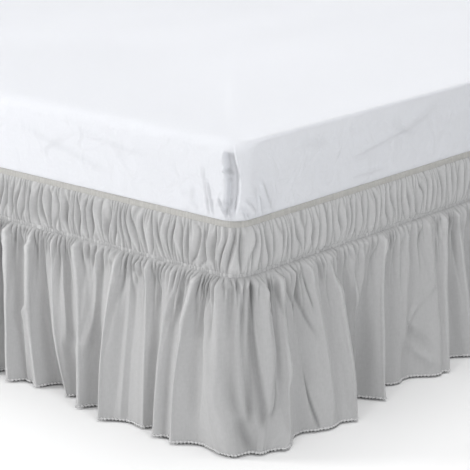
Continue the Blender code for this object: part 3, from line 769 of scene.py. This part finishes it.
# Columns: gathers to a fold, wander, lines to a family, seed, the depths between which they join, half
# width in gathers, height, and how much painted shade a groove gets and how much painted highlight a ridge.
GATHER_LAYERS = (
    (18, 0.50, 3, 62, (0.03, 0.09), 0.90, 0.0054, 0.38, 0.10),
    (6, 0.35, 2, 63, (0.08, 0.40), 0.70, 0.0062, 0.30, 0.05),
    (3, 0.15, 3, 66, (0.15, 1.30), 0.42, 0.0070, 0.24, 0.05),
)
RIM_HEIGHT = 0.0026
RIM_WIDTH = 0.026
RIM_GROOVE = 0.0045
HEM_PUCKER = 0.0075
FOLD_SEED = 11
FOLD_PITCH = 0.088
PITCH_SPREAD = 0.38
TOP_SHIFT = 0.020
BOW = 0.008
REACH_RANGE = (0.056, 0.098)
VALLEY_RANGE = (0.016, 0.048)


def drawn_folds(rng, start, end):
    """Rows for the folds of one unseen run, spread unevenly between two ridges."""
    count = max(2, round((end - start) / FOLD_PITCH))
    steps = 1.0 + PITCH_SPREAD * rng.uniform(-1.0, 1.0, count)
    rows = []
    for at in start + np.cumsum(steps / steps.sum())[:-1] * (end - start):
        top = at + TOP_SHIFT * rng.uniform(-1.0, 1.0)
        middle = (at + top) / 2 + BOW * rng.uniform(-1.0, 1.0)
        rows.append((top, middle, at, rng.uniform(*REACH_RANGE), None, rng.uniform(*VALLEY_RANGE)))
    return rows


rng = np.random.default_rng(FOLD_SEED)
folds = list(CORNER_FOLDS)
joins = [CORNER_FOLDS.index(CORNER_ROWS[CORNER_SPLIT_ROW])]
for middle in CORNER_MIDDLES[1:]:
    folds += drawn_folds(rng, folds[-1][2], middle + CORNER_ROWS[0][2])
    joins.append(len(folds) + CORNER_SPLIT_ROW)
    folds += [(a + middle, b + middle, c + middle, r, d + middle, w) for a, b, c, r, d, w in CORNER_ROWS]
folds += drawn_folds(rng, folds[-1][2], LOOP + CORNER_FOLDS[0][2])
hems = np.array([row[2] for row in folds])
after = np.append(hems[1:], hems[0] + LOOP)
shares = [0.5 if row[4] is None else (row[4] - row[2]) / (b - row[2]) for row, b in zip(folds, after)]
shares = np.array(shares)
fold_top, fold_middle, fold_hem, fold_reach = (np.array([row[k] for row in folds]) for k in range(4))
fold_valley = np.array([row[5] for row in folds])


def fold_surface(q, t):
    """Where the ruffle lies: position round the bed and distance out.

    q counts folds, whole numbers being ridges and halves being valleys, and t
    is the depth from 0 at the seam to 1 at the hem. Each ridge follows a
    parabola through its three places. From ridge to valley the distance out
    falls as a blend of a cosine and of a parabola that leaves the ridge at its
    steepest, so that ridges are crisp and valleys round. The position runs on
    evenly, with a small double-frequency term that steepens the flanks.
    """
    count = len(fold_hem)
    k = np.floor(q).astype(int)
    turn = k // count
    k, n = np.mod(k, count), np.mod(k + 1, count)

    def ridge_place(i):
        ends = fold_top[i] * (1 - t) * (1 - 2 * t) + fold_hem[i] * t * (2 * t - 1)
        return ends + fold_middle[i] * 4 * t * (1 - t)

    flare = PUFF_SHARE * ease(t / PUFF_DEPTH) + (1.0 - PUFF_SHARE) * t ** FLARE_POWER
    here, there = ridge_place(k), ridge_place(n) + LOOP * (n < k)
    here_out = RUFFLE_AT_SEAM + (fold_reach[k] - RUFFLE_AT_SEAM) * flare
    there_out = RUFFLE_AT_SEAM + (fold_reach[n] - RUFFLE_AT_SEAM) * flare
    low_out = RUFFLE_AT_SEAM + (fold_valley[k] - RUFFLE_AT_SEAM) * t ** FLARE_POWER
    low = here + (there - here) * (0.5 + (shares[k] - 0.5) * t)
    p = np.mod(q, 1.0)
    down = p < 0.5
    phase = 2 * np.pi * np.where(down, p, 1.0 - p)
    run = phase / np.pi + FOLD_SQUARENESS * np.sin(2 * phase) / (2 * np.pi)
    slide = phase / np.pi
    crisp = CRISPNESS * ease((fold_reach - fold_valley) / 0.035)[np.where(down, k, n)]
    drop = (1 - crisp) * (1 - np.cos(phase)) / 2 + crisp * slide * (2 - slide)
    top_at = np.where(down, here, there)
    top_out = np.where(down, here_out, there_out)
    at = top_at + (low - top_at) * run
    out = top_out + (low_out - top_out) * drop
    return at + turn * LOOP, out


def ruffle_points(q, rows):
    """Points of the main folds for fold numbers q at depths rows.

    Returns x, y and z, the normal in plan, square to the step between two
    points just before and just after each, and the place round the bed.
    """
    Q, T = q[None, :], rows[:, None]
    at, out = fold_surface(Q, T)
    z = RUFFLE_TOP + (RUFFLE_HEM - RUFFLE_TOP) * T + HEM_LIFT * T ** 4 * ease(out / REACH_RANGE[1])
    x, y, _, _ = round_bed(at, out)
    step = 1e-3
    at2, out2 = fold_surface(Q + step, T)
    x2, y2, _, _ = round_bed(at2, out2)
    at1, out1 = fold_surface(Q - step, T)
    x1, y1, _, _ = round_bed(at1, out1)
    tx, ty = x2 - x1, y2 - y1
    size = np.hypot(tx, ty) + 1e-9
    mx, my = ty / size, -tx / size
    return x, y, np.broadcast_to(z, x.shape), mx, my, at


def cloth_width(q):
    """Width of cloth up to each fold number: length of the plan curve at three fifths of the drop."""
    at, out = fold_surface(q, np.float64(0.6))
    x, y, _, _ = round_bed(at, out)
    return np.concatenate([[0.0], np.cumsum(np.hypot(np.diff(x), np.diff(y)))])


CLOTH_DROP = 0.30
NEAR_COLUMN = 0.0019
FAR_COLUMN = 0.0029
ROWS = np.concatenate([np.linspace(0.0, 0.2, 22), np.linspace(0.2, 1.0, 38)[1:]])
dense_q = np.arange(0.0, len(folds) + 1e-9, 1 / 400)
dense_u = cloth_width(dense_q)
CLOTH_ROUND = dense_u[-1]
dense_s = from_corner(fold_surface(dense_q, np.float64(0.6))[0], 0.0)
column = NEAR_COLUMN + (FAR_COLUMN - NEAR_COLUMN) * ease((np.abs(dense_s) - 0.66) / 0.10)
dense_n = np.concatenate([[0.0], np.cumsum(np.diff(dense_u) / column[1:])])


def drawn_ridges(s, t, lean):
    """Sum of the small ridges at place s round the corner and depth t, and the painted shade of their grooves
    and troughs.

    Each is a tent along a bent line, fading at both ends, and is a trough
    where its height is below 0. Where lean is 1 a ridge's far side is steep
    with a narrow groove at its foot. Grooves and troughs get painted shade.
    """
    height, dark = np.zeros(s.shape), np.zeros(s.shape)
    for s0, t0, s1, t1, s2, t2, tall, half_width, leans in SMALL_RIDGES:
        off = s - np.interp(t, (t0, t1, t2), (s0, s1, s2))
        near, far = half_width * (1.0 + 1.2 * lean * leans), half_width * (1.0 - 0.6 * lean * leans)
        away = (np.sqrt(off ** 2 + 0.001 ** 2) - 0.001) / np.where(off > 0, far, near)
        groove = 0.3 * lean * leans * np.maximum(1.0 - np.abs(off - 1.2 * far) / (0.8 * far), 0.0)
        fade = ease((t - t0) / 0.04) * ease((t2 - t) / 0.12)
        tent = np.maximum(1.0 - away, 0.0)
        height += tall * (tent - groove) * fade
        # Painted shadow beside a leaning ridge, and painted shade within a trough.
        beside = GROOVE_SHADE * max(tall, 0.0) * groove
        within = TROUGH_SHADE * max(-tall, 0.0) / half_width * tent
        dark += (beside + within) * fade
    return height, np.minimum(dark, DARKEST)


def small_gathers(u, q, t, at):
    """Height of the small gathers at cloth width u, fold number q and depth t, in metres, and their painted
    shade.

    Eighteen fine gathers to a fold join in threes just under the seam, those
    in twos lower down, and the last three run into the main ridge between a
    seventh and the whole of the drop. A narrow rim runs down each main ridge,
    with a groove beside it where the folds lean. Grooves get painted shade and
    ridges a little painted highlight.
    """
    count = len(folds)
    s = from_corner(at, 0.0)
    lean = far_lean(at)
    rim = ease((fold_reach - fold_valley) / 0.035)[np.mod(np.round(q).astype(int), count)]
    wander = noise_field(u / 0.06, t * 3.0, round(CLOTH_ROUND / 0.06), 61)
    slack = noise_field(u / 0.075, t * 2.0 + 0.3, round(CLOTH_ROUND / 0.075), 64)
    ripple = noise_field(u / 0.030, t * 4.0, round(CLOTH_ROUND / 0.030), 65)
    drawn = ease((SMALL_RIDGE_REACH - np.abs(s)) / 0.04)
    fades = (
        ease((0.19 - t) / 0.13) * ease(t / 0.012),
        ease((0.45 - t) / 0.35) * ease(t / 0.02),
        ease(t / 0.06) * (1.0 - 0.45 * t) * (1.0 - 0.65 * drawn),
    )
    h, painted_shading = 0.0, 0.0
    for (each, stray, family, seed, ends, width, tall, dim, lit), fade in zip(GATHER_LAYERS, fades):
        phase = q * each + stray * wander
        line, groove = gathers(phase, t, count * each, family, seed, ends, width, 1.5 * lean - 0.5)
        h = h + tall * line * fade
        # Painted shade in the grooves, painted highlight on the ridges.
        painted_shading = painted_shading + (dim * groove - lit * line) * fade
    off = q - np.round(q)
    crest = rim * np.maximum(1.0 - np.abs(off) / RIM_WIDTH, 0.0) * ease(t / 0.10)
    groove = rim * lean * np.maximum(1.0 - np.abs(off - 0.060) / 0.035, 0.0) * ease(t / 0.10)
    h = h + RIM_HEIGHT * crest - RIM_GROOVE * groove
    # Painted shadow in the groove beside each rim, painted highlight on the rim's crest.
    painted_shading = painted_shading + 0.36 * groove - 0.15 * crest * (1.0 - 0.5 * lean)
    hem_pucker = noise_field(u / HEM_PUCKER, 0.5, round(CLOTH_ROUND / HEM_PUCKER), 67)
    h = h + 0.0012 * hem_pucker * ease((t - 0.93) / 0.06)
    small, dark = drawn_ridges(s, t, lean)
    return h + small + (0.0022 * slack + 0.0009 * ripple) * ease(t / 0.3), painted_shading + dark


def ruffle_length(name, node, first, last):
    """One length of the ruffle between two corner joins, its columns closer together near the seen corner."""
    long_q = np.concatenate([dense_q, dense_q[1:] + len(folds)])
    long_u = np.concatenate([dense_u, dense_u[1:] + CLOTH_ROUND])
    long_n = np.concatenate([dense_n, dense_n[1:] + dense_n[-1]])
    start, end = np.interp([first, last], long_q, long_n)
    q = np.interp(np.linspace(start, end, round(end - start) + 1), long_n, long_q)
    u = np.interp(q, long_q, long_u)
    x, y, z, mx, my, at = ruffle_points(q, ROWS)
    u_round, q_round = np.mod(u, CLOTH_ROUND)[None, :], np.mod(q, len(folds))[None, :]
    h, painted_shading = small_gathers(u_round, q_round, ROWS[:, None], at)
    points = np.stack([x + h * mx, y + h * my, z], axis=-1)
    down = ROWS * CLOTH_DROP
    uv = np.stack(np.broadcast_arrays(u[None, :], down[:, None]), axis=-1)
    piece = grid_piece(name, points, uv, False, skirt_cloth, painted_shading)
    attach(piece, "root")
    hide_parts(node)
    return piece, u[-1] - u[0], points[-1]


lengths = []
ends = joins[1:] + [joins[0] + len(folds)]
for side, first, last in zip(("right", "head", "left", "foot"), joins, ends):
    lengths.append((side, *ruffle_length("ruffle_cloth_" + side, "ruffle_" + side, first, last)))


# Hem: the raw edge is overlocked, a fine corded row of thread loops that
# follows every fold of the hem.

thread, tree, shader = fresh_material("overlock_thread")
twist = add_node(tree, "ShaderNodeTexNoise", {"Vector": object_point(tree), "Scale": 380.0, "Detail": 2.0})
two_tone(tree, shader, twist.outputs["Fac"], (0.42, 0.42, 0.425), (0.64, 0.64, 0.64))
shader.inputs["Roughness"].default_value = 0.8

THREAD_RADIUS = 0.0008
LOOP_RADIUS = 0.0021
THREAD_LOOP = 0.0070
THREAD_STEP = 0.0014


def overlock(name, edge):
    """Corded edge: a six-sided section carried along the hem, its radius swelling at each thread loop.

    The radius is the thread's, plus the size of a sine that has one hump a
    loop, plus a little noise.
    """
    run = np.concatenate([[0.0], np.cumsum(np.linalg.norm(np.diff(edge[:, :2], axis=0), axis=1))])
    s = np.arange(0.0, run[-1], THREAD_STEP)
    x, y, z = (np.interp(s, run, edge[:, k]) for k in range(3))
    tx, ty = np.gradient(x), np.gradient(y)
    size = np.hypot(tx, ty) + 1e-9
    nx, ny = ty / size, -tx / size
    angle = np.linspace(0.0, 2 * math.pi, 6, endpoint=False)[:, None]
    swell = LOOP_RADIUS * np.abs(np.sin(math.pi * s / THREAD_LOOP))
    radius = THREAD_RADIUS + swell + 0.0007 * noise_field(s / 0.009, 0.5, 4000, 71)
    side = radius * np.cos(angle) * 0.8
    points = np.stack([x + side * nx, y + side * ny, z + radius * np.sin(angle) + 0.0004], axis=-1)
    turned = np.swapaxes(points, 0, 1)
    uv = np.stack(np.meshgrid(np.arange(len(angle) + 1) * 0.001, s, indexing="xy"), axis=-1)
    piece = grid_piece(name, turned, uv, True, thread)
    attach(piece, "root")
    return piece


for side, cloth, width, edge in lengths:
    hem = overlock("hem_overlock_" + side, edge)
